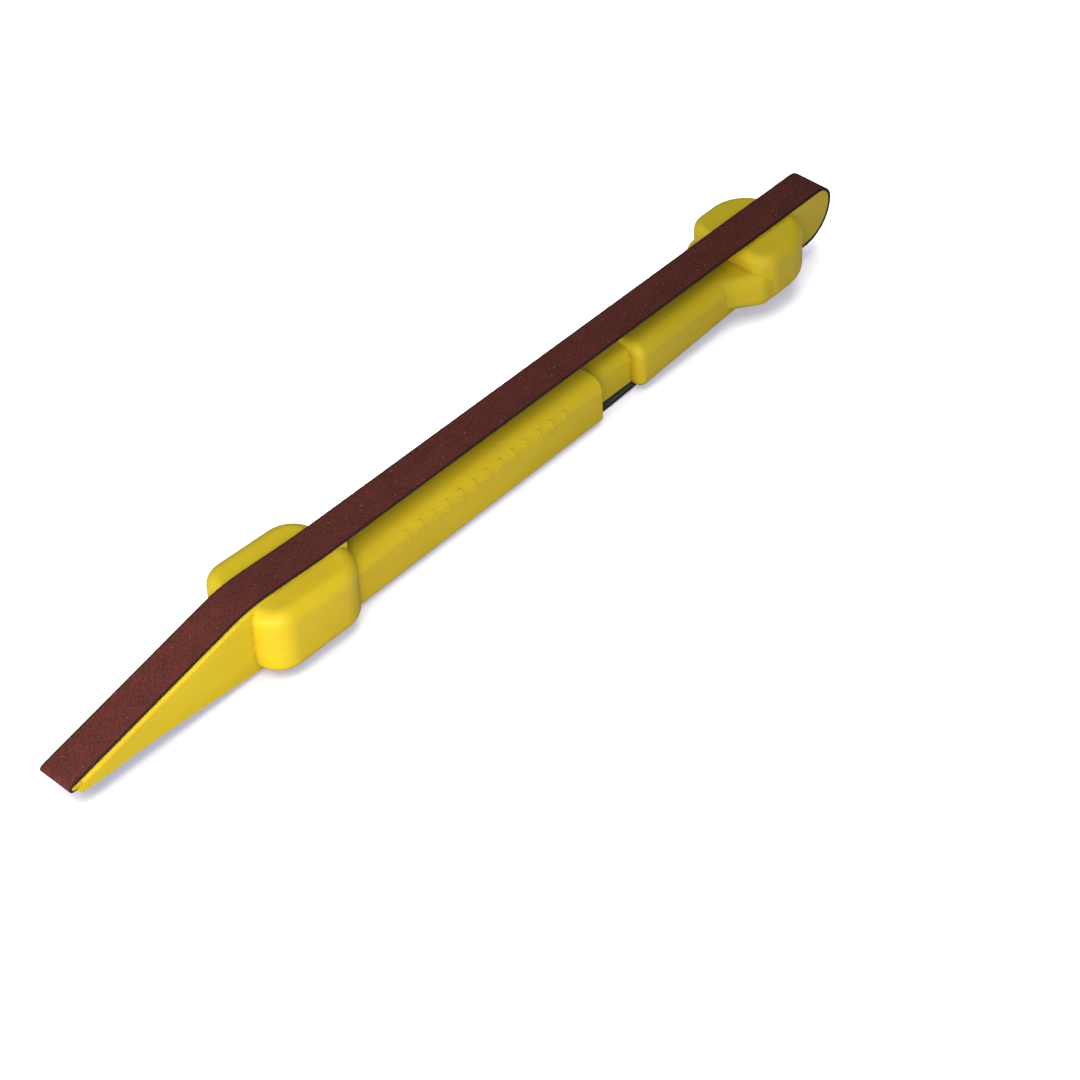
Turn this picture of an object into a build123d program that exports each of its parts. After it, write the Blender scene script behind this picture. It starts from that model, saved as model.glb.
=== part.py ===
from build123d import *
from math import cos, radians, sin, tan
import os

# Spring-tensioned sanding stick, in millimetres.
# X runs along the stick, with the wedge nose at -X and the round end at +X.
# Z = 0 is the flat that the stick lies on, which is the outside of the belt's lower run.
# Every station named *_X is measured from the very tip of the nose.

# ---- driving dimensions -------------------------------------------------------------------
LENGTH = 165.5
BELT_WIDTH = 6.35
BACKING = 0.30
GRIT = 0.15
BELT = BACKING + GRIT

# the side outline that the belt runs round
NOSE_RADIUS = 0.25
NOSE_Z = 3.75
WEDGE_TOP_ANGLE = 13.9
WEDGE_BOTTOM_ANGLE = 4.7
KNEE_Z, KNEE_RADIUS = 12.6, 25.0
SADDLE_X, SADDLE_Z, SADDLE_RADIUS = 50.0, 11.9, 60.0
END_TOP_Z = 12.25
END_TOP_RADIUS, END_BOTTOM_RADIUS = 2.6, 5.8
FLAT_END_X = 108.0
RISE_ANGLE = 3.55
HEEL_RADIUS = 60.0

# tape over the joint in the belt
SPLICE_X, SPLICE_LENGTH, SPLICE = 86.0, 20.0, 0.06

# the front moulding
CORE_HALF = 3.25
WEDGE_HALF, WEDGE_ROUND = 3.72, 0.5
WEDGE_X, WEDGE_END_X = 2.2, 40.0
LIP = 0.44
LIP_OUTLINE = [(1.1, 3.3), (1.9, 2.55), (6.0, 2.42), (15.5, 2.28), (15.5, 3.0), (5.0, 4.2)]
WING_HALF = 8.45
FRONT_WING_ROUND, REAR_WING_ROUND, WING_BOTTOM_ROUND = 2.1, 1.6, 1.9
WING_DROP = 0.1
FRONT_WING_X, FRONT_WING_END_X, FRONT_WING_Z = 34.9, 54.6, 1.05
FRONT_WING_CORNER, FRONT_WING_END_CORNER = 4.5, 5.4
SLEEVE_X, SLEEVE_END_X = 46.0, 108.0
SLEEVE_HALF, SLEEVE_END_HALF = 5.6, 4.95
SLEEVE_Z, BAR_TOP_Z = 0.5, 8.95
BAR_TOP_ROUND, BAR_BOTTOM_ROUND = 2.3, 0.9
SLEEVE_END_ROUND = 0.4

# the tongue, its guide and the spring between them
TONGUE_HALF = 2.8
TONGUE_Z, TONGUE_TOP_Z = 1.35, 8.05
TONGUE_TOP_ROUND, TONGUE_BOTTOM_ROUND = 2.0, 0.5
RUNNING_CLEARANCE = 0.1
GUIDE_X = 54.0
TONGUE_X = 80.0
PEG_RADIUS, PEG_LENGTH = 1.3, 4.0
PEG_ROOT, TONGUE_ROOT = 1.0, 3.0
SPRING_RADIUS, SPRING_WIRE, SPRING_TURNS = 2.05, 0.5, 11

# the rear moulding
SHOULDER_X = 116.9
SHOULDER_ROUND, SHOULDER_BOTTOM_ROUND = 1.3, 1.6
BAR_END_X, BAR_END_HALF = 146.0, 4.75
BAR_Z, BAR_END_Z = 0.62, 2.35
REAR_WING_X, REAR_WING_END_X, REAR_WING_Z = 142.6, 156.4, 2.8
REAR_WING_CORNER, REAR_WING_END_CORNER = 3.6, 7.0
FLARE_RUN, FLARE_X, FLARE_SIDE_X = 8.0, 138.2, 142.9
FLARE_HALF, FLARE_INSET = 8.2, 0.6
FLARE_CONCAVE, FLARE_CONVEX = 6.0, 3.0
FLARE_TOP_ROUND = 2.2
PLATEN_HALF = 3.1
PLATEN_X = 142.8
BELT_CLEARANCE = 0.1
CHANNEL_HALF = 3.4

# raised grip ticks on the near side of the sleeve
TICKS, TICK_FIRST_X, TICK_PITCH = 13, 64.5, 2.9
TICK_WIDTH, TICK_HEIGHT, TICK_PROUD, TICK_Z = 0.5, 2.4, 0.2, 7.0
TICK_DEPTH = 1.6

# ---- the belt's path ----------------------------------------------------------------------
half_nose = radians(WEDGE_TOP_ANGLE + WEDGE_BOTTOM_ANGLE) / 2
nose_tilt = radians(WEDGE_TOP_ANGLE - WEDGE_BOTTOM_ANGLE) / 2
to_apex = NOSE_RADIUS / sin(half_nose)
apex_x = BELT + NOSE_RADIUS - to_apex * cos(nose_tilt)
apex_z = NOSE_Z - to_apex * sin(nose_tilt)
knee_x = apex_x + (KNEE_Z - apex_z) / tan(radians(WEDGE_TOP_ANGLE))
heel_x = apex_x + (apex_z - BELT) / tan(radians(WEDGE_BOTTOM_ANGLE))
end_x = LENGTH - BELT
end_bottom_z = BELT + (end_x - FLAT_END_X) * tan(radians(RISE_ANGLE))
spring_z = (TONGUE_Z + TONGUE_TOP_Z) / 2


def at(x):
    """Row-frame X of a station measured from the tip of the nose."""
    return x - LENGTH / 2


# corners of the belt's inner face, each with the radius that the belt turns at
LOOP = [
    ((apex_x, apex_z), NOSE_RADIUS),
    ((knee_x, KNEE_Z), KNEE_RADIUS),
    ((SADDLE_X, SADDLE_Z), SADDLE_RADIUS),
    ((end_x, END_TOP_Z), END_TOP_RADIUS),
    ((end_x, end_bottom_z), END_BOTTOM_RADIUS),
    ((FLAT_END_X, BELT), HEEL_RADIUS),
    ((heel_x, BELT), HEEL_RADIUS),
]


def loop_face(grow=0.0, from_x=-LENGTH, to_x=2 * LENGTH):
    """Side outline of the space inside the belt, grown or shrunk, between two stations."""
    with BuildSketch(Plane.XZ) as face:
        with BuildLine():
            corners = [(at(x), z) for (x, z), _ in LOOP]
            FilletPolyline(*corners, radius=[r for _, r in LOOP], close=True)
        make_face()
        if grow:
            offset(amount=grow)
        with Locations((at((from_x + to_x) / 2), 0)):
            Rectangle(to_x - from_x, 4 * END_TOP_Z, mode=Mode.INTERSECT)
    return face.sketch


def side_face(*points):
    """Side outline through a few points, each a station and a height."""
    with BuildSketch(Plane.XZ) as face:
        with BuildLine():
            Polyline(*[(at(x), z) for x, z in points], close=True)
        make_face()
    return face.sketch


def section(station, half, bottom, top, top_round, bottom_round):
    """Rounded rectangle across the stick at one station."""
    with BuildSketch(Plane.YZ.offset(at(station))) as face:
        with Locations((0, (bottom + top) / 2)):
            Rectangle(2 * half, top - bottom)
        fillet(face.vertices().group_by(Axis.Y)[-1], top_round)
        fillet(face.vertices().group_by(Axis.Y)[0], bottom_round)
    return face.sketch


def tongue_section(station, grow=0.0):
    """Section of the tongue or, when grown, of the guide that it runs in."""
    bottom, top = TONGUE_Z - grow, TONGUE_TOP_Z + grow
    return section(station, TONGUE_HALF + grow, bottom, top, TONGUE_TOP_ROUND + grow, TONGUE_BOTTOM_ROUND)


def disc(station, radius):
    """Circle across the stick on the spring's axis."""
    with BuildSketch(Plane.YZ.offset(at(station))) as face:
        with Locations((0, spring_z)):
            Circle(radius)
    return face.sketch


def wing_plan(start, end, bottom, start_corner, end_corner):
    """Plan of a pair of finger wings, which is one rounded rectangle."""
    with BuildSketch(Plane.XY.offset(bottom)) as face:
        with Locations((at((start + end) / 2), 0)):
            Rectangle(end - start, 2 * WING_HALF)
        fillet(face.vertices().group_by(Axis.X)[0], start_corner)
        fillet(face.vertices().group_by(Axis.X)[-1], end_corner)
    return face.sketch


def outer_edges(faces, start, end):
    """Edges round the rim of some faces, without the seams across them between two stations."""
    seams = faces.edges().filter_by(Axis.Y).filter_by_position(Axis.X, at(start + 1), at(end - 1))
    return faces.edges() - seams


def flare_plan(bottom):
    """Plan of the bar where it spreads out into the rear wings."""
    middle = (FLARE_SIDE_X + REAR_WING_END_X) / 2
    stations = (FLARE_X - FLARE_RUN, FLARE_X, FLARE_SIDE_X, middle)
    halves = (BAR_END_HALF - FLARE_INSET, BAR_END_HALF, FLARE_HALF, FLARE_HALF)
    side = [(at(x), half) for x, half in zip(stations, halves)]
    with BuildSketch(Plane.XY.offset(bottom)) as face:
        with BuildLine():
            Polyline(*side, *[(x, -y) for x, y in reversed(side)], close=True)
        make_face()
        fillet(face.vertices().group_by(Axis.X)[1], FLARE_CONCAVE)
        fillet(face.vertices().group_by(Axis.X)[-2], FLARE_CONVEX)
    return face.sketch


def top_run_z(station):
    """Height of the belt's inner face along its straight top run."""
    return SADDLE_Z + (END_TOP_Z - SADDLE_Z) * (station - SADDLE_X) / (end_x - SADDLE_X)


def sleeve_ends(grow=0.0):
    """Sections at both ends of the tapering sleeve, grown on the sides and the top."""
    top, top_round = BAR_TOP_Z + grow, BAR_TOP_ROUND + grow
    return [
        section(x, half + grow, SLEEVE_Z, top, top_round, BAR_BOTTOM_ROUND)
        for x, half in ((SLEEVE_X, SLEEVE_HALF), (SLEEVE_END_X, SLEEVE_END_HALF))
    ]


# ---- front moulding: nose wedge, finger wings and the sleeve ------------------------------
with BuildPart() as wedge:
    extrude(loop_face(from_x=WEDGE_X, to_x=WEDGE_END_X), amount=WEDGE_HALF, both=True)
    side_edges = wedge.faces().filter_by(Axis.Y).edges().filter_by(Axis.Z, reverse=True)
    fillet(side_edges.filter_by(lambda edge: edge.center().Z > NOSE_Z), WEDGE_ROUND)

with BuildPart() as front_wings:
    plan = wing_plan(
        FRONT_WING_X, FRONT_WING_END_X, FRONT_WING_Z, FRONT_WING_CORNER, FRONT_WING_END_CORNER
    )
    extrude(plan, amount=KNEE_Z)
    extrude(loop_face(-WING_DROP), amount=2 * WING_HALF, both=True, mode=Mode.INTERSECT)
    tops = front_wings.faces().filter_by(lambda face: face.normal_at().Z > 0.9)
    fillet(outer_edges(tops, FRONT_WING_X, FRONT_WING_END_X), FRONT_WING_ROUND)
    fillet(front_wings.faces().sort_by(Axis.Z)[0].edges(), WING_BOTTOM_ROUND)

# raised ticks that give the finger some grip
with BuildPart() as ticks:
    for number in range(TICKS):
        with Locations((at(TICK_FIRST_X + number * TICK_PITCH), -SLEEVE_HALF, TICK_Z)):
            Box(TICK_WIDTH, 2 * TICK_DEPTH, TICK_HEIGHT)
    loft(sleeve_ends(TICK_PROUD), mode=Mode.INTERSECT)

with BuildPart() as front_body:
    # sleeve, a bar that tapers towards its open end
    loft(sleeve_ends())
    fillet(front_body.faces().sort_by(Axis.X)[-1].edges(), SLEEVE_END_ROUND)
    add(ticks.part)

    # wedge and wings, with a core just wider than the belt that fills the belt's outline
    add(wedge.part)
    add(front_wings.part)
    extrude(loop_face(to_x=FRONT_WING_END_X), amount=CORE_HALF, both=True)

    # low lips on both sides of the nose, which keep the belt from walking off the tip
    lip_face = side_face(*LIP_OUTLINE)
    for side in (-1, 1):
        extrude(lip_face.moved(Location((0, -side * WEDGE_HALF, 0))), amount=-side * LIP)

    # guide for the tongue, with a peg on its end wall for the spring
    extrude(tongue_section(GUIDE_X, RUNNING_CLEARANCE), amount=LENGTH, mode=Mode.SUBTRACT)
    extrude(disc(GUIDE_X - PEG_ROOT, PEG_RADIUS), amount=PEG_LENGTH + PEG_ROOT)

# ---- rear moulding: tongue, shoulder, finger wings and the round end ----------------------
with BuildPart() as rear_wings:
    plan = wing_plan(
        REAR_WING_X, REAR_WING_END_X, REAR_WING_Z, REAR_WING_CORNER, REAR_WING_END_CORNER
    )
    extrude(plan, amount=KNEE_Z)
    outline = loop_face(-BELT_CLEARANCE - WING_DROP)
    extrude(outline, amount=2 * WING_HALF, both=True, mode=Mode.INTERSECT)
    tops = rear_wings.faces().filter_by(lambda face: face.normal_at().Z > 0.9)
    fillet(outer_edges(tops, REAR_WING_X, REAR_WING_END_X), REAR_WING_ROUND)
    fillet(rear_wings.faces().sort_by(Axis.Z)[0].edges(), WING_BOTTOM_ROUND)

with BuildPart() as flare:
    extrude(flare_plan(REAR_WING_Z), amount=BAR_TOP_Z - REAR_WING_Z)
    fillet(flare.faces().sort_by(Axis.Z)[-1].edges().filter_by(Axis.Y, reverse=True), FLARE_TOP_ROUND)
    fillet(flare.faces().sort_by(Axis.Z)[0].edges().filter_by(Axis.Y, reverse=True), WING_BOTTOM_ROUND)

with BuildPart() as rear_body:
    bar = [
        section(SHOULDER_X, SLEEVE_END_HALF, BAR_Z, BAR_TOP_Z, BAR_TOP_ROUND, SHOULDER_BOTTOM_ROUND),
        section(BAR_END_X, BAR_END_HALF, BAR_END_Z, BAR_TOP_Z, BAR_TOP_ROUND, SHOULDER_BOTTOM_ROUND),
    ]
    loft(bar)
    fillet(rear_body.faces().sort_by(Axis.X)[0].edges(), SHOULDER_ROUND)
    add(flare.part)
    add(rear_wings.part)

    # channel that the belt's lower run lies in
    with BuildSketch(Plane.XZ) as channel:
        with Locations((at((SHOULDER_X + LENGTH) / 2), 0)):
            Rectangle(2 * (LENGTH - SHOULDER_X), 4 * END_TOP_Z)
        add(loop_face(-BELT_CLEARANCE), mode=Mode.SUBTRACT)
    extrude(channel.sketch, amount=CHANNEL_HALF, both=True, mode=Mode.SUBTRACT)

    # platen that carries the belt round the end
    extrude(loop_face(-BELT_CLEARANCE, from_x=PLATEN_X), amount=PLATEN_HALF, both=True)

    # tongue, with a peg for the spring
    extrude(tongue_section(TONGUE_X), amount=SHOULDER_X + TONGUE_ROOT - TONGUE_X)
    extrude(disc(TONGUE_X - PEG_LENGTH, PEG_RADIUS), amount=PEG_LENGTH + PEG_ROOT)

# ---- compression spring between the pegs, with ground ends --------------------------------
spring_length = TONGUE_X - GUIDE_X
spring_pitch = spring_length / SPRING_TURNS
with BuildPart() as tension_spring:
    with BuildLine() as coil:
        Helix(
            pitch=spring_pitch,
            height=spring_length + spring_pitch,
            radius=SPRING_RADIUS,
            center=(at(GUIDE_X) - spring_pitch / 2, 0, spring_z),
            direction=(1, 0, 0),
        )
    with BuildSketch(Plane(coil.line @ 0, z_dir=coil.line % 0)):
        Circle(SPRING_WIRE / 2)
    sweep(path=coil.line, is_frenet=True)
    with Locations((at(GUIDE_X + spring_length / 2), 0, spring_z)):
        Box(spring_length, 4 * SPRING_RADIUS, 4 * SPRING_RADIUS, mode=Mode.INTERSECT)

# ---- the belt: cloth backing inside, abrasive coat outside, tape over its joint -----------
with BuildPart() as belt_backing:
    with BuildSketch(Plane.XZ) as backing_ring:
        add(loop_face(BACKING))
        add(loop_face(), mode=Mode.SUBTRACT)
    extrude(backing_ring.sketch, amount=BELT_WIDTH / 2, both=True)

with BuildPart() as belt_abrasive:
    with BuildSketch(Plane.XZ) as abrasive_ring:
        add(loop_face(BELT))
        add(loop_face(BACKING), mode=Mode.SUBTRACT)
    extrude(abrasive_ring.sketch, amount=BELT_WIDTH / 2, both=True)

with BuildPart() as belt_splice_tape:
    first, last = SPLICE_X - SPLICE_LENGTH / 2, SPLICE_X + SPLICE_LENGTH / 2
    low, high = top_run_z(first), top_run_z(last)
    tape = side_face((first, low), (last, high), (last, high - SPLICE), (first, low - SPLICE))
    extrude(tape, amount=BELT_WIDTH / 2, both=True)

# ---- one STEP file for each piece ---------------------------------------------------------
os.makedirs("parts", exist_ok=True)
pieces = {
    "front_body": front_body,
    "rear_body": rear_body,
    "tension_spring": tension_spring,
    "belt_backing": belt_backing,
    "belt_abrasive": belt_abrasive,
    "belt_splice_tape": belt_splice_tape,
}
for name, piece in pieces.items():
    piece.part.label = name
    export_step(piece.part, f"parts/{name}.step")
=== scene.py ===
from math import ceil, cos, pi, radians, sin, tan

import bpy
from mathutils import Euler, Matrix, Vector, noise


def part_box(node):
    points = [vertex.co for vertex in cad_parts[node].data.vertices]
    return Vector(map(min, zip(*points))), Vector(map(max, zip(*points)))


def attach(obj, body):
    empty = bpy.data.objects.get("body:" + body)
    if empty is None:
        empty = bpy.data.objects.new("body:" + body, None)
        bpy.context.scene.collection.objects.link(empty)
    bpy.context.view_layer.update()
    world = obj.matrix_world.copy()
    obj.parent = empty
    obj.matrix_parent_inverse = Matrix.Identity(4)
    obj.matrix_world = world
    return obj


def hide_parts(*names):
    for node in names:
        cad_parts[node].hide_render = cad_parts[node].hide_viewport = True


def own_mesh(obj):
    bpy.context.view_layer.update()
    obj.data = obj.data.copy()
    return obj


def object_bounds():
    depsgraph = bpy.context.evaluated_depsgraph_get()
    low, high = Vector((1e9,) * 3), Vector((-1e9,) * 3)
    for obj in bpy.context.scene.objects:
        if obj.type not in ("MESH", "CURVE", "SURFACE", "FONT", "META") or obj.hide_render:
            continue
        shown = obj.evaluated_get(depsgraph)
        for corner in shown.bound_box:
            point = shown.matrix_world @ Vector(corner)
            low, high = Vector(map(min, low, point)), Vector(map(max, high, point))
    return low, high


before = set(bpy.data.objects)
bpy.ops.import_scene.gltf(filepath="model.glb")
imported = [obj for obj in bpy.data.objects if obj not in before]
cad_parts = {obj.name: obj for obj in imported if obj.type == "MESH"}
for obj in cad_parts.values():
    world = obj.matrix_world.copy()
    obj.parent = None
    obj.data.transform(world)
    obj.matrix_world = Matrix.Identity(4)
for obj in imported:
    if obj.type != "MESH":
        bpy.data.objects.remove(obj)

cad_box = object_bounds()

# ---- sizes, in metres unless a name says otherwise ----------------------------------------
MM = 0.001

# the view: direction of the camera from the object, its tilt, its distance and its lens
VIEW_AZIMUTH, VIEW_ELEVATION, VIEW_ROLL = -45.2, 43.15, -3.0
VIEW_DISTANCE, VIEW_LENS = 0.4755, 108.1
VIEW_AIM = (-5.6 * MM, -20.2 * MM, 6.5 * MM)

# what the lights face: the wedge, the middle of the stick and the sleeve's open end
WEDGE, MIDDLE, SLEEVE = (-0.05, -0.005, 0.006), (0, 0, 0), (0.03, 0, 0)

# softboxes: name, what it faces, azimuth, elevation, distance, size, watts, colour, beam in degrees
OBJECT_LIGHTS = (
    ("key", WEDGE, -84, 17, 0.26, 0.14, 0.40, (1.0, 0.98, 0.93), 180),
    ("side", WEDGE, -42, 26, 0.19, 0.11, 0.036, (1.0, 0.965, 0.93), 54),
    ("top", SLEEVE, -26, 66, 0.8, 0.5, 1.70, (0.95, 1.0, 0.93), 180),
    ("back", MIDDLE, -150, 52, 0.9, 0.35, 1.15, (0.95, 1.0, 0.90), 180),
)
FLOOR_LIGHT = ("panel", MIDDLE, -150, 68, 1.2, 2.0, 42.0, (1.0, 1.0, 1.0), 180)
SKY, SKY_STRENGTH = (0.93, 0.97, 1.0), 0.20

# the paper that the stick lies on
FLOOR_SIZE = 6
FLOOR_WHITE, FLOOR_BOUNCE, FLOOR_GLOW = 0.9, 0.35, 0.46
FLOOR_TINT = (0.86, 0.86, 1.0)

# the side outline that the belt runs round, as (station from the tip of the nose, height)
LENGTH = 165.5 * MM
NOSE_Z, NOSE_RADIUS = 3.75 * MM, 0.25 * MM
WEDGE_TOP_ANGLE, WEDGE_BOTTOM_ANGLE = 13.9, 4.7
KNEE_Z, KNEE_RADIUS = 12.6 * MM, 25.0 * MM
SADDLE_X, SADDLE_Z, SADDLE_RADIUS = 50.0 * MM, 11.9 * MM, 60.0 * MM
END_TOP_Z, END_TOP_RADIUS, END_BOTTOM_RADIUS = 12.25 * MM, 2.6 * MM, 5.8 * MM
FLAT_END_X, RISE_ANGLE, HEEL_RADIUS = 108.0 * MM, 3.55, 60.0 * MM

# the belt: a cloth backing with a coat of grit, frayed along both edges
BACKING, GRIT = 0.30 * MM, 0.15 * MM
BELT_HALF = 3.175 * MM
BELT_STEP, BELT_ROWS, CORNER_STEPS = 0.3 * MM, 21, 6
GRAIN, GRAIN_SIZE, EDGE_WEAR = 0.035 * MM, 0.35 * MM, 0.3
FRAY = 0.07 * MM
LAYER_GAP = 0.01 * MM

# the tape over the joint in the belt, on its inner side
TAPE_LENGTH, TAPE = 20.0 * MM, 0.055 * MM
TAPE_SLANT = 0.6
TAPE_COLUMNS, TAPE_ROWS = 90, 12
TAPE_TOP, TAPE_SAG, TAPE_WAVE = 0.92, 0.03, 0.05 * MM
TAPE_SLICE = 7.0

# the spring between the two pegs
SPRING_START, SPRING_END, SPRING_Z = -28.75 * MM, -2.75 * MM, 4.7 * MM
SPRING_RADIUS, WIRE_RADIUS = 2.05 * MM, 0.25 * MM
SPRING_TURNS, CLOSED_TURNS, CLOSED_PITCH = 13, 1.2, 1.05
WIRE_STEPS, WIRE_SIDES = 40, 14
GROUND_END, GROUND_GROWTH = 0.55, 0.1

# colours of the plastic, the grit, the cloth, the tape and the wire
YELLOW, PALER_YELLOW, AMBER = (0.68, 0.485, 0.016), (0.74, 0.55, 0.018), (0.60, 0.41, 0.020)
# the paler edge colour is rub wear and painted highlight; the brown-red corner colour is dust and
# painted shade
RUB_AND_HIGHLIGHT, DUST_AND_SHADE = (0.78, 0.62, 0.06), (0.20, 0.095, 0.035)
MAROON, BRIGHT_MAROON = (0.080, 0.018, 0.0145), (0.118, 0.027, 0.022)
# the pale grain colour is bare grain and painted glint
GRIT_TOP, GRIT_PIT, BARE_GRAIN_GLINT = (0.175, 0.050, 0.042), (0.040, 0.010, 0.009), (0.32, 0.15, 0.13)
# the dark cut edge colours are partly painted shade on the belt's thin sides
CUT_GRIT_SHADE, CUT_CLOTH_SHADE = (0.018, 0.006, 0.006), (0.016, 0.009, 0.006)
CLOTH, CLOTH_THREAD = (0.045, 0.052, 0.042), (0.12, 0.135, 0.112)
TAPE_FILM, TAPE_THREAD = (0.055, 0.016, 0.014), (0.12, 0.038, 0.032)
STEEL, OILED_STEEL = (0.48, 0.48, 0.50), (0.62, 0.60, 0.56)

# scale of a wave texture whose bands are one metre apart
WAVE_UNIT = 0.3142


# ---- camera, floor and light --------------------------------------------------------------
def direction(azimuth, elevation):
    """Unit vector from the object towards a place in the studio."""
    a, e = radians(azimuth), radians(elevation)
    return Vector((sin(a) * cos(e), -cos(a) * cos(e), sin(e)))


def add_camera():
    """Camera that looks down along the stick from its near, nose side."""
    data = bpy.data.cameras.new("camera")
    data.lens, data.clip_start = VIEW_LENS, 0.01
    camera = bpy.data.objects.new("camera", data)
    towards = direction(VIEW_AZIMUTH, VIEW_ELEVATION)
    camera.location = Vector(VIEW_AIM) + towards * VIEW_DISTANCE
    upright = (-towards).to_track_quat("-Z", "Y")
    camera.rotation_euler = (upright @ Euler((0, 0, radians(VIEW_ROLL))).to_quaternion()).to_euler()
    bpy.context.scene.collection.objects.link(camera)
    bpy.context.scene.camera = camera


def add_softbox(name, centre, azimuth, elevation, distance, size, power, colour, beam):
    """Square area light that faces a point on the object."""
    data = bpy.data.lights.new(name, "AREA")
    data.size, data.energy, data.color, data.spread = size, power, colour, radians(beam)
    light = bpy.data.objects.new(name, data)
    light.visible_camera = False
    towards = direction(azimuth, elevation)
    light.location = Vector(centre) + towards * distance
    light.rotation_euler = towards.to_track_quat("Z", "Y").to_euler()
    bpy.context.scene.collection.objects.link(light)
    return light


def aim_reach(light, floor, state):
    """INCLUDE lights the floor only; EXCLUDE lights all but the floor, which stays even."""
    group = bpy.data.collections.new(light.name + "_reach")
    light.light_linking.receiver_collection = group
    group.objects.link(floor)
    group.collection_objects[0].light_linking.link_state = state


def add_studio():
    """Pale floor, soft sky and the softboxes."""
    world = bpy.data.worlds.new("studio")
    world.use_nodes = True
    sky = world.node_tree.nodes["Background"]
    sky.inputs["Color"].default_value = (*SKY, 1)
    sky.inputs["Strength"].default_value = SKY_STRENGTH
    bpy.context.scene.world = world
    object_lights = [add_softbox(*row) for row in OBJECT_LIGHTS]
    panel = add_softbox(*FLOOR_LIGHT)

    bpy.ops.mesh.primitive_plane_add(size=FLOOR_SIZE, location=(0, 0, cad_box[0][2]))
    floor = bpy.context.object
    floor.name = "floor"
    material = new_material("white_paper")
    nodes, links = material.node_tree.nodes, material.node_tree.links
    shader = nodes["Principled BSDF"]
    shader.inputs["Roughness"].default_value = 0.9
    shader.inputs["Specular IOR Level"].default_value = 0.1
    shader.inputs["Emission Color"].default_value = (*FLOOR_TINT, 1)
    seen = nodes.new("ShaderNodeLightPath").outputs["Is Camera Ray"]
    # seen straight on the paper is white and glows a little; its bounced light is weaker
    for name, low, high in (
        ("Base Color", FLOOR_BOUNCE, FLOOR_WHITE),
        ("Emission Strength", 0, FLOOR_GLOW),
    ):
        switch = nodes.new("ShaderNodeMapRange")
        switch.inputs["To Min"].default_value, switch.inputs["To Max"].default_value = low, high
        links.new(seen, switch.inputs["Value"])
        links.new(switch.outputs["Result"], shader.inputs[name])
    floor.data.materials.append(material)
    aim_reach(panel, floor, "INCLUDE")
    for light in object_lights:
        aim_reach(light, floor, "EXCLUDE")


# ---- materials ----------------------------------------------------------------------------
def new_material(name):
    material = bpy.data.materials.new(name)
    material.use_nodes = True
    return material


class Recipe:
    """Node material under construction, with short calls for the nodes used here."""

    def __init__(self, name):
        self.material = new_material(name)
        self.nodes = self.material.node_tree.nodes
        self.links = self.material.node_tree.links
        self.shader = self.nodes["Principled BSDF"]
        self.place = self.nodes.new("ShaderNodeTexCoord").outputs["Object"]

    def set(self, **sockets):
        """Constant values, given as words such as Coat_Weight."""
        for name, value in sockets.items():
            self.shader.inputs[name.replace("_", " ")].default_value = value

    def link(self, source, socket):
        self.links.new(source, self.shader.inputs[socket])

    def stretched(self, scale, source=None):
        """Coordinates scaled along each axis; below 1 draws the features out."""
        mapping = self.nodes.new("ShaderNodeMapping")
        mapping.inputs["Scale"].default_value = scale
        self.links.new(source or self.place, mapping.inputs["Vector"])
        return mapping.outputs["Vector"]

    def grain(self, size, detail=2.0, roughness=0.5, source=None):
        """Noise whose features are about that size, in metres."""
        node = self.nodes.new("ShaderNodeTexNoise")
        node.inputs["Scale"].default_value = 1 / size
        node.inputs["Detail"].default_value = detail
        node.inputs["Roughness"].default_value = roughness
        self.links.new(source or self.place, node.inputs["Vector"])
        return node.outputs["Fac"]

    def cells(self, size, source):
        """Voronoi cells of about that size, in metres."""
        node = self.nodes.new("ShaderNodeTexVoronoi")
        node.inputs["Scale"].default_value = 1 / size
        self.links.new(source, node.inputs["Vector"])
        return node

    def span(self, source, low, high, to_low, to_high):
        """Value moved from one range to another, and kept inside it."""
        node = self.nodes.new("ShaderNodeMapRange")
        values = (low, high, to_low, to_high)
        for socket, value in zip(("From Min", "From Max", "To Min", "To Max"), values):
            node.inputs[socket].default_value = value
        self.links.new(source, node.inputs["Value"])
        return node.outputs["Result"]

    def maths(self, operation, first, second=0):
        """Result of an operation on two values, each a socket or a number."""
        node = self.nodes.new("ShaderNodeMath")
        node.operation = operation
        for socket, value in zip(node.inputs, (first, second)):
            if isinstance(value, (int, float)):
                socket.default_value = value
            else:
                self.links.new(value, socket)
        return node.outputs[0]

    def mix(self, factor, first, second):
        """Colour between two colours, each a socket or three numbers."""
        node = self.nodes.new("ShaderNodeMix")
        node.data_type = "RGBA"
        self.links.new(factor, node.inputs["Factor"])
        for name, value in (("A", first), ("B", second)):
            socket = [s for s in node.inputs if s.name == name and s.type == "RGBA"][0]
            if isinstance(value, tuple):
                socket.default_value = (*value, 1)
            else:
                self.links.new(value, socket)
        return [s for s in node.outputs if s.type == "RGBA"][0]

    def bump(self, height, distance, strength, under=None):
        """Normal tilted by a height that is that deep, in metres, on top of another bump."""
        node = self.nodes.new("ShaderNodeBump")
        node.inputs["Distance"].default_value = distance
        node.inputs["Strength"].default_value = strength
        self.links.new(height, node.inputs["Height"])
        if under:
            self.links.new(under, node.inputs["Normal"])
        return node.outputs["Normal"]


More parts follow.
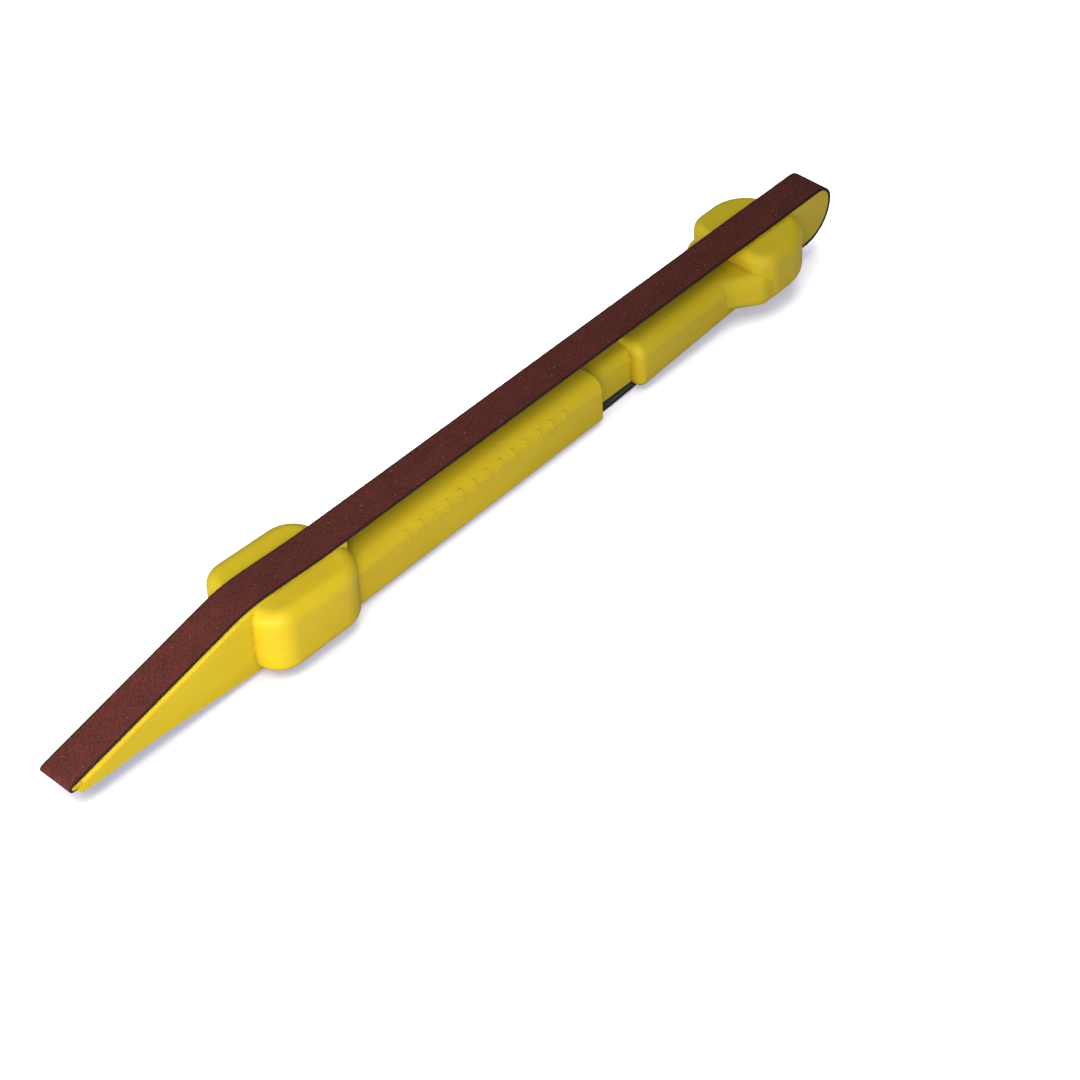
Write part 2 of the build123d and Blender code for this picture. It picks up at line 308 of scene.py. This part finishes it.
def plastic():
    """Yellow moulded plastic: fine satin texture, edges painted paler as rub wear and painted
    highlight, and grit dust with painted shade in the corners.
    """
    recipe = Recipe("yellow_plastic")
    drift = recipe.grain(22 * MM, 3)
    flow = recipe.grain(6 * MM, 2, source=recipe.stretched((0.25, 1, 1)))
    colour = recipe.mix(recipe.span(drift, 0.35, 0.65, 0, 1), YELLOW, PALER_YELLOW)
    colour = recipe.mix(recipe.span(flow, 0.45, 0.75, 0, 0.35), colour, AMBER)

    # edges painted paler, as rub wear and painted highlight: where the rounded normal leaves the true
    # one
    bevel = recipe.nodes.new("ShaderNodeBevel")
    bevel.inputs["Radius"].default_value = 0.45 * MM
    true_normal = recipe.nodes.new("ShaderNodeNewGeometry").outputs["Normal"]
    dot = recipe.nodes.new("ShaderNodeVectorMath")
    dot.operation = "DOT_PRODUCT"
    recipe.links.new(bevel.outputs["Normal"], dot.inputs[0])
    recipe.links.new(true_normal, dot.inputs[1])
    edge = recipe.span(dot.outputs["Value"], 0.86, 0.99, 1, 0)
    patchy = recipe.span(recipe.grain(1.1 * MM, 4), 0.42, 0.66, 0, 0.45)
    colour = recipe.mix(recipe.maths("MULTIPLY", edge, patchy), colour, RUB_AND_HIGHLIGHT)

    # brown-red dust and painted shade, darkest in the corners beside the belt
    shade = recipe.nodes.new("ShaderNodeAmbientOcclusion")
    shade.samples = 8
    shade.inputs["Distance"].default_value = 1.3 * MM
    corner = recipe.span(shade.outputs["AO"], 0.30, 0.88, 1, 0)
    specks = recipe.span(recipe.grain(0.5 * MM, 3), 0.40, 0.65, 0.15, 0.75)
    dust_and_shade = recipe.maths("MULTIPLY", corner, specks)
    colour = recipe.mix(dust_and_shade, colour, DUST_AND_SHADE)
    recipe.link(colour, "Base Color")

    smear = recipe.grain(3 * MM, 4, 0.6, recipe.stretched((0.4, 1, 1)))
    satin = recipe.span(smear, 0.35, 0.65, 0.36, 0.50)
    recipe.link(recipe.maths("ADD", satin, recipe.maths("MULTIPLY", dust_and_shade, 0.3)), "Roughness")

    # sink marks, spark texture and hairline scratches along the stick
    normal = recipe.bump(recipe.grain(9 * MM, 2), 0.09 * MM, 0.6)
    normal = recipe.bump(recipe.grain(0.16 * MM, 2), 0.010 * MM, 0.55, normal)
    hair = recipe.grain(0.5 * MM, 1, source=recipe.stretched((0.05, 1, 1)))
    normal = recipe.bump(recipe.span(hair, 0.66, 0.72, 0, 1), 0.006 * MM, 0.5, normal)
    recipe.link(normal, "Normal")
    recipe.set(Subsurface_Weight=0.06, Subsurface_Radius=(0.9, 0.6, 0.1), Subsurface_Scale=0.4 * MM)
    recipe.set(IOR=1.46, Specular_IOR_Level=0.3)
    return recipe.material


def belt_place(recipe):
    """Place on the belt as (length along it, width across it), in metres."""
    node = recipe.nodes.new("ShaderNodeUVMap")
    node.uv_map = "belt"
    return node.outputs["UV"]


def across(recipe, place):
    """Share of the way from the belt's middle line to its edge."""
    node = recipe.nodes.new("ShaderNodeSeparateXYZ")
    recipe.links.new(place, node.inputs[0])
    return recipe.maths("DIVIDE", recipe.maths("ABSOLUTE", node.outputs["Y"]), BELT_HALF)


def abrasive():
    """Fine maroon grit in a resin coat, with pale grains painted as glints, worn patches, and dark cut
    edges partly painted as shade.
    """
    recipe = Recipe("maroon_grit")
    place = belt_place(recipe)
    blotch = recipe.grain(3.5 * MM, 4, 0.62, place)
    colour = recipe.mix(recipe.span(blotch, 0.32, 0.68, 0, 1), MAROON, BRIGHT_MAROON)
    fine = recipe.grain(0.30 * MM, 2, 0.6, place)
    colour = recipe.mix(recipe.span(fine, 0.42, 0.70, 0, 0.75), colour, GRIT_TOP)
    pit = recipe.grain(0.42 * MM, 2, 0.6, place)
    colour = recipe.mix(recipe.span(pit, 0.50, 0.28, 0, 0.65), colour, GRIT_PIT)

    # a few bare grains, painted pale as glints that catch the light
    stone = recipe.cells(0.55 * MM, place)
    bright = recipe.nodes.new("ShaderNodeSeparateColor")
    recipe.links.new(stone.outputs["Color"], bright.inputs[0])
    chosen = recipe.span(bright.outputs["Red"], 0.93, 0.95, 0, 1)
    near = recipe.span(stone.outputs["Distance"], 0.30, 0.16, 0, 1)
    glint_fleck = recipe.maths("MULTIPLY", chosen, near)
    colour = recipe.mix(recipe.maths("MULTIPLY", glint_fleck, 0.7), colour, BARE_GRAIN_GLINT)

    # darker towards the cut edges and on the thin sides: cut edge colour and painted shade
    edge = recipe.span(across(recipe, place), 0.90, 0.985, 0, 0.8)
    colour = recipe.mix(edge, colour, CUT_GRIT_SHADE)
    recipe.link(colour, "Base Color")
    recipe.link(recipe.span(fine, 0.3, 0.7, 0.92, 0.62), "Roughness")
    normal = recipe.bump(recipe.grain(0.22 * MM, 3, 0.65, place), 0.045 * MM, 0.9)
    normal = recipe.bump(near, 0.020 * MM, 0.6, normal)
    recipe.link(normal, "Normal")
    recipe.set(IOR=1.5, Specular_IOR_Level=0.12)
    return recipe.material


def woven(name, dark, pale, thread):
    """Resin-filled cloth: threads that far apart along and across the belt, and dark cut edges partly
    painted as shade.
    """
    recipe = Recipe(name)
    place = belt_place(recipe)
    threads = []
    for axis in ("X", "Y"):
        wave = recipe.nodes.new("ShaderNodeTexWave")
        wave.bands_direction = axis
        wave.inputs["Scale"].default_value = WAVE_UNIT / thread
        wave.inputs["Distortion"].default_value = 1.2
        wave.inputs["Detail Scale"].default_value = 2.0
        recipe.links.new(place, wave.inputs["Vector"])
        threads.append(wave.outputs["Fac"])
    weave = recipe.maths("MULTIPLY", threads[0], threads[1])
    slub = recipe.grain(1.4 * MM, 3, 0.6, recipe.stretched((0.2, 1, 1), place))
    colour = recipe.mix(recipe.span(weave, 0.05, 0.7, 0, 1), dark, pale)
    colour = recipe.mix(recipe.span(slub, 0.45, 0.75, 0, 0.5), colour, dark)
    # darker towards the cut edges and on the thin sides: cut edge colour and painted shade
    edge = recipe.span(across(recipe, place), 0.93, 0.975, 0, 1)
    colour = recipe.mix(edge, colour, CUT_CLOTH_SHADE)
    recipe.link(colour, "Base Color")
    recipe.link(recipe.span(slub, 0.3, 0.7, 0.70, 0.88), "Roughness")
    normal = recipe.bump(weave, 0.05 * MM, 0.9)
    normal = recipe.bump(recipe.grain(0.12 * MM, 2, 0.5, place), 0.012 * MM, 0.6, normal)
    recipe.link(normal, "Normal")
    return recipe.material


def steel():
    """Bright drawn spring wire with faint die lines and a little oil."""
    recipe = Recipe("spring_wire")
    streak = recipe.grain(0.30 * MM, 3, 0.6, recipe.stretched((0.15, 1, 1)))
    film = recipe.grain(1.5 * MM, 3, 0.6)
    colour = recipe.mix(recipe.span(film, 0.35, 0.65, 0, 1), STEEL, OILED_STEEL)
    recipe.link(colour, "Base Color")
    recipe.link(recipe.span(streak, 0.3, 0.7, 0.20, 0.38), "Roughness")
    recipe.link(recipe.bump(streak, 0.006 * MM, 0.6), "Normal")
    recipe.set(Metallic=1.0)
    return recipe.material


# ---- the belt and its tape ----------------------------------------------------------------
def belt_corners():
    """Corners of the belt's inner face from the nose over the top, each with its turning radius."""
    belt = BACKING + GRIT
    top, bottom = radians(WEDGE_TOP_ANGLE), radians(WEDGE_BOTTOM_ANGLE)
    to_apex = NOSE_RADIUS / sin((top + bottom) / 2)
    apex_x = belt + NOSE_RADIUS - to_apex * cos((top - bottom) / 2)
    apex_z = NOSE_Z - to_apex * sin((top - bottom) / 2)
    end_x = LENGTH - belt
    stations = (
        (apex_x, apex_z, NOSE_RADIUS),
        (apex_x + (KNEE_Z - apex_z) / tan(top), KNEE_Z, KNEE_RADIUS),
        (SADDLE_X, SADDLE_Z, SADDLE_RADIUS),
        (end_x, END_TOP_Z, END_TOP_RADIUS),
        (end_x, belt + (end_x - FLAT_END_X) * tan(radians(RISE_ANGLE)), END_BOTTOM_RADIUS),
        (FLAT_END_X, belt, HEEL_RADIUS),
        (apex_x + (apex_z - belt) / tan(bottom), belt, HEEL_RADIUS),
    )
    return [(Vector((x - LENGTH / 2, z)), radius) for x, z, radius in stations]


def belt_path():
    """Points of the belt's inner face, evenly spaced, each with its outward normal."""
    corners = belt_corners()
    pieces = []
    for number, (corner, radius) in enumerate(corners):
        before = (corner - corners[number - 1][0]).normalized()
        after = (corners[(number + 1) % len(corners)][0] - corner).normalized()
        turn = before.angle_signed(after)
        reach = radius * tan(abs(turn) / 2)
        pieces.append((corner - before * reach, corner + after * reach, before, radius, turn))
    points = []
    for number, (start, end, before, radius, turn) in enumerate(pieces):
        steps = max(CORNER_STEPS, ceil(radius * abs(turn) / BELT_STEP))
        side = 1 if turn > 0 else -1
        normal = Vector((-before.y, before.x))
        centre = start - normal * radius * side
        for step in range(steps + 1):
            angle = -turn * step / steps
            turned = Vector((
                normal.x * cos(angle) - normal.y * sin(angle),
                normal.x * sin(angle) + normal.y * cos(angle),
            ))
            points.append((centre + turned * radius * side, turned))
        run = pieces[(number + 1) % len(pieces)][0] - end
        count = max(1, int(run.length / BELT_STEP))
        for step in range(1, count):
            points.append((end + run * step / count, points[-1][1]))
    return points


def mesh_object(name, vertices, faces, uvs=None):
    """Smooth-shaded object from points and faces, with the place of each point on the belt."""
    data = bpy.data.meshes.new(name)
    data.from_pydata(vertices, [], faces)
    if uvs:
        layer = data.uv_layers.new(name="belt")
        for loop in data.loops:
            layer.data[loop.index].uv = uvs[loop.vertex_index]
    for polygon in data.polygons:
        polygon.use_smooth = True
    obj = bpy.data.objects.new(name, data)
    bpy.context.scene.collection.objects.link(obj)
    return obj


def belt_layer(name, path, inner, outer, grain):
    """Closed band between two heights over the path, with frayed edges and a grainy outside."""
    vertices, uvs, along = [], [], 0.0
    rows = [row / (BELT_ROWS - 1) * 2 - 1 for row in range(BELT_ROWS)]
    ring = [(share, outer) for share in rows] + [(share, inner) for share in reversed(rows)]
    for number, (point, normal) in enumerate(path):
        along += (point - path[number - 1][0]).length if number else 0.0
        for share, height in ring:
            seed = Vector((along, share * BELT_HALF, height)) / GRAIN_SIZE
            rough = noise.noise(seed)
            at_edge = abs(share) == 1
            width = BELT_HALF - (FRAY * (0.5 + 0.5 * rough) if at_edge else 0)
            if height == outer:
                height -= grain * (0.5 + 0.5 * rough) + (EDGE_WEAR * grain if at_edge else 0)
            place = point + normal * height
            vertices.append((place.x, share * width, place.y))
            uvs.append((along, share * BELT_HALF))
    count, size = len(path), len(ring)
    faces = []
    for number in range(count):
        following = (number + 1) % count
        for step in range(size):
            after = (step + 1) % size
            here, there = number * size, following * size
            faces.append((here + step, here + after, there + after, there + step))
    return mesh_object(name, vertices, faces, uvs)


def splice_tape():
    """Thin tape with slanted ends and slightly wavy sides, under the belt's top run."""
    low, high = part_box("belt_splice_tape")
    columns, rows = TAPE_COLUMNS, TAPE_ROWS
    vertices, uvs = [], []
    for level in (0, 1):
        for column in range(columns + 1):
            for row in range(rows + 1):
                along, share = column / columns, row / rows * 2 - 1
                squeeze = 1 - TAPE_SLANT * (1 + share) / 2 * BELT_HALF * 2 / TAPE_LENGTH
                x = low[0] + (along * squeeze) * TAPE_LENGTH + TAPE_SLANT * BELT_HALF * (1 + share) / 2
                wave = noise.noise(Vector((x / MM, share, TAPE_SLICE)))
                y = share * (BELT_HALF - TAPE_WAVE * (1 + wave) * (abs(share) == 1))
                rise = (x - low[0]) / (high[0] - low[0]) * (high[2] - low[2] - TAPE)
                z = low[2] + rise + (TAPE * TAPE_TOP if level else TAPE_SAG * TAPE * (1 + wave))
                vertices.append((x, y, z))
                uvs.append((x, y))
    layer, faces = (columns + 1) * (rows + 1), []
    for column in range(columns):
        for row in range(rows):
            a = column * (rows + 1) + row
            b = a + rows + 1
            faces.append((a, a + 1, b + 1, b))
            faces.append((layer + a, layer + b, layer + b + 1, layer + a + 1))
    rim = list(range(rows + 1))
    rim += [column * (rows + 1) + rows for column in range(1, columns + 1)]
    rim += [columns * (rows + 1) + row for row in range(rows - 1, -1, -1)]
    rim += [column * (rows + 1) for column in range(columns - 1, 0, -1)]
    for here, there in zip(rim, rim[1:] + rim[:1]):
        faces.append((here, layer + here, layer + there, there))
    return mesh_object("belt_tape", vertices, faces, uvs)


def add_belt():
    """Both layers of the belt and its tape, in place of their three nodes."""
    path = belt_path()
    woven_cloth = woven("backing_cloth", CLOTH, CLOTH_THREAD, 0.42 * MM)
    tape_cloth = woven("tape_film", TAPE_FILM, TAPE_THREAD, 0.25 * MM)
    cloth = belt_layer("belt_cloth", path, 0.0, BACKING - LAYER_GAP, 0.0)
    coat = belt_layer("belt_coat", path, BACKING, BACKING + GRIT, GRAIN)
    tape = splice_tape()
    for piece, node, material in (
        (cloth, "belt_backing", woven_cloth),
        (coat, "belt_abrasive", abrasive()),
        (tape, "belt_splice_tape", tape_cloth),
    ):
        piece.data.materials.append(material)
        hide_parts(node)
        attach(piece, "front")


# ---- the spring ---------------------------------------------------------------------------
def add_spring():
    """Compression spring with closed ends, wound as a tube along a helix."""
    steps, sides = SPRING_TURNS * WIRE_STEPS, WIRE_SIDES
    closed = CLOSED_TURNS / SPRING_TURNS
    first, last = SPRING_START + WIRE_RADIUS, SPRING_END - WIRE_RADIUS
    closed_run = CLOSED_TURNS * 2 * WIRE_RADIUS * CLOSED_PITCH
    line = []
    for step in range(steps + 1):
        share = step / steps
        if share < closed:
            x = first + closed_run * share / closed
        elif share > 1 - closed:
            x = last - closed_run * (1 - share) / closed
        else:
            middle = (share - closed) / (1 - 2 * closed)
            x = first + closed_run + middle * (last - first - 2 * closed_run)
        angle = 2 * pi * SPRING_TURNS * share
        line.append(Vector((x, SPRING_RADIUS * cos(angle), SPRING_Z + SPRING_RADIUS * sin(angle))))
    vertices, faces = [], []
    for number, point in enumerate(line):
        tangent = (line[min(number + 1, steps)] - line[max(number - 1, 0)]).normalized()
        outward = Vector((0, point.y, point.z - SPRING_Z)).normalized()
        other = tangent.cross(outward).normalized()
        taper = min(1.0, GROUND_END + GROUND_GROWTH * min(number, steps - number))
        for side in range(sides):
            angle = 2 * pi * side / sides
            around = outward * cos(angle) + other * sin(angle)
            vertices.append(point + around * WIRE_RADIUS * taper)
    for number in range(steps):
        for side in range(sides):
            after = (side + 1) % sides
            a, b = number * sides, (number + 1) * sides
            faces.append((a + side, a + after, b + after, b + side))
    faces.append(tuple(range(sides)))
    faces.append(tuple(reversed(range(steps * sides, (steps + 1) * sides))))
    spring = mesh_object("coil_spring", vertices, faces)
    spring.data.materials.append(steel())
    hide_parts("tension_spring")
    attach(spring, "front")
    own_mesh(spring)


def dress(node, material):
    """Give a visible node its one material."""
    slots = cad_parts[node].data.materials
    slots.clear()
    slots.append(material)


add_camera()
add_studio()
yellow = plastic()
for node in ("front_body", "rear_body"):
    dress(node, yellow)
add_belt()
add_spring()
bpy.context.scene.view_settings.view_transform = "Standard"
